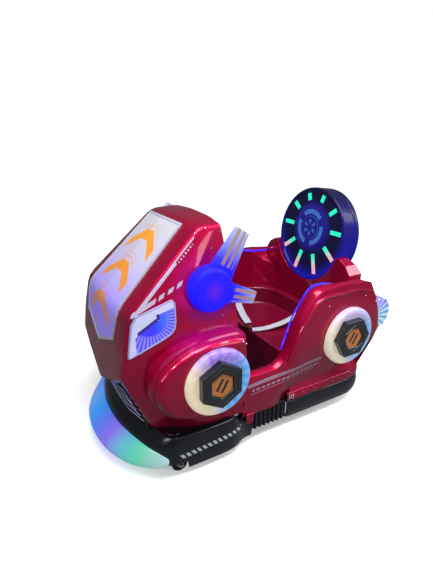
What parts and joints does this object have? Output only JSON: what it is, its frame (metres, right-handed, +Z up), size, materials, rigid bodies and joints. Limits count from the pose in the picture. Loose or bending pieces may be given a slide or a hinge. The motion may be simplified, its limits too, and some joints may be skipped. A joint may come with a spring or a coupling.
{
  "type": "children's bumper car",
  "caption": "Children's battery bumper car with a visor-shaped cowl, lamp rings, a glowing nose crescent, swivel casters and a lit disc as its headrest.",
  "frame": {"origin": "on the floor under the middle of the car's bounding box", "axes": "+X forward to the nose, +Y to the car's left, +Z up"},
  "size_m": [1.532, 0.9852, 1.1304],
  "materials": {
    "frame_steel": "satin black paint",
    "floor_mat": "ribbed rubber mat",
    "battery_case": "matte",
    "motor_steel": "grey paint",
    "drive_tyre": "solid rubber",
    "caster_tyre": "solid rubber",
    "fork_steel": "zinc plated",
    "base_black": "gloss",
    "grip_black": "semi-matt",
    "candy_red": "metallic candy lacquer",
    "seat_red": "gloss",
    "nose_lens": "lit translucent lens",
    "panel_lens": "lit translucent lens",
    "slat_white": "gloss",
    "headlight_lens": "lit translucent lens",
    "ear_lens": "lit translucent lens",
    "ring_lens": "lit translucent lens",
    "cap_black": "gloss",
    "led_blue": "lit strip",
    "disc_navy": "gloss translucent",
    "bar_teal": "lit bars",
    "tail_lens": "lit translucent lens",
    "dash_black": "fine grain",
    "wheel_black": "soft grip",
    "webbing": "woven",
    "buckle_black": "satin"
  },
  "bodies": {
    "car_body": {"chassis_frame": "frame_steel", "floor_pan": "floor_mat", "battery": "battery_case", "drive_unit_left": "motor_steel", "drive_unit_right": "motor_steel", "bumper_front": "base_black", "bumper_rear": "base_black", "rear_skirt": "candy_red", "grip_left": "grip_black", "grip_right": "grip_black", "nose_lamp": "nose_lens", "front_cowl": "candy_red", "light_panel": "panel_lens", "chin_grille": "slat_white", "headlight_left": "headlight_lens", "headlight_right": "headlight_lens", "fender_left": "candy_red", "fender_right": "candy_red", "ear_lamp_left": "ear_lens", "ear_lamp_right": "ear_lens", "front_ring_left": "ring_lens", "front_ring_right": "ring_lens", "rear_ring_left": "ring_lens", "rear_ring_right": "ring_lens", "front_hex_left": "cap_black", "front_hex_right": "cap_black", "rear_hex_left": "cap_black", "rear_hex_right": "cap_black", "tub_side_left": "candy_red", "tub_side_right": "candy_red", "tub_tail_left": "candy_red", "tub_tail_right": "candy_red", "seat": "seat_red", "led_strips": "led_blue", "disc_cradle": "candy_red", "headrest_disc": "disc_navy", "disc_bars": "bar_teal", "tail_lamp_left": "tail_lens", "tail_lamp_right": "tail_lens", "dash_panel": "dash_black", "steering_column": "frame_steel", "pedal": "frame_steel", "seat_belt": "webbing", "belt_buckle": "buckle_black"},
    "rear_wheel_left_body": {"rear_wheel_left": "drive_tyre"},
    "rear_wheel_right_body": {"rear_wheel_right": "drive_tyre"},
    "caster_left_body": {"caster_fork_left": "fork_steel"},
    "caster_right_body": {"caster_fork_right": "fork_steel"},
    "caster_wheel_left_body": {"caster_wheel_left": "caster_tyre"},
    "caster_wheel_right_body": {"caster_wheel_right": "caster_tyre"},
    "steering_wheel_body": {"steering_wheel": "wheel_black"}
  },
  "joints": [
    {"name": "rear_wheel_left_roll", "type": "hinge", "parent": "car_body", "child": "rear_wheel_left_body", "pos_m": [-0.33, 0.262, 0.1], "axis": [0, 1, 0], "continuous": true},
    {"name": "rear_wheel_right_roll", "type": "hinge", "parent": "car_body", "child": "rear_wheel_right_body", "pos_m": [-0.33, -0.262, 0.1], "axis": [0, 1, 0], "continuous": true},
    {"name": "caster_left_swivel", "type": "hinge", "parent": "car_body", "child": "caster_left_body", "pos_m": [0.5, 0.365, 0.12], "axis": [0, 0, 1], "continuous": true},
    {"name": "caster_left_roll", "type": "hinge", "parent": "caster_left_body", "child": "caster_wheel_left_body", "pos_m": [0.48, 0.365, 0.036], "axis": [0, 1, 0], "continuous": true},
    {"name": "caster_right_swivel", "type": "hinge", "parent": "car_body", "child": "caster_right_body", "pos_m": [0.5, -0.365, 0.12], "axis": [0, 0, 1], "continuous": true},
    {"name": "caster_right_roll", "type": "hinge", "parent": "caster_right_body", "child": "caster_wheel_right_body", "pos_m": [0.48, -0.365, 0.036], "axis": [0, 1, 0], "continuous": true},
    {"name": "steering", "type": "hinge", "parent": "car_body", "child": "steering_wheel_body", "pos_m": [0.09, 0, 0.64], "axis": [-0.8192, 0, 0.5736], "range_deg": [-120, 120]}
  ]
}
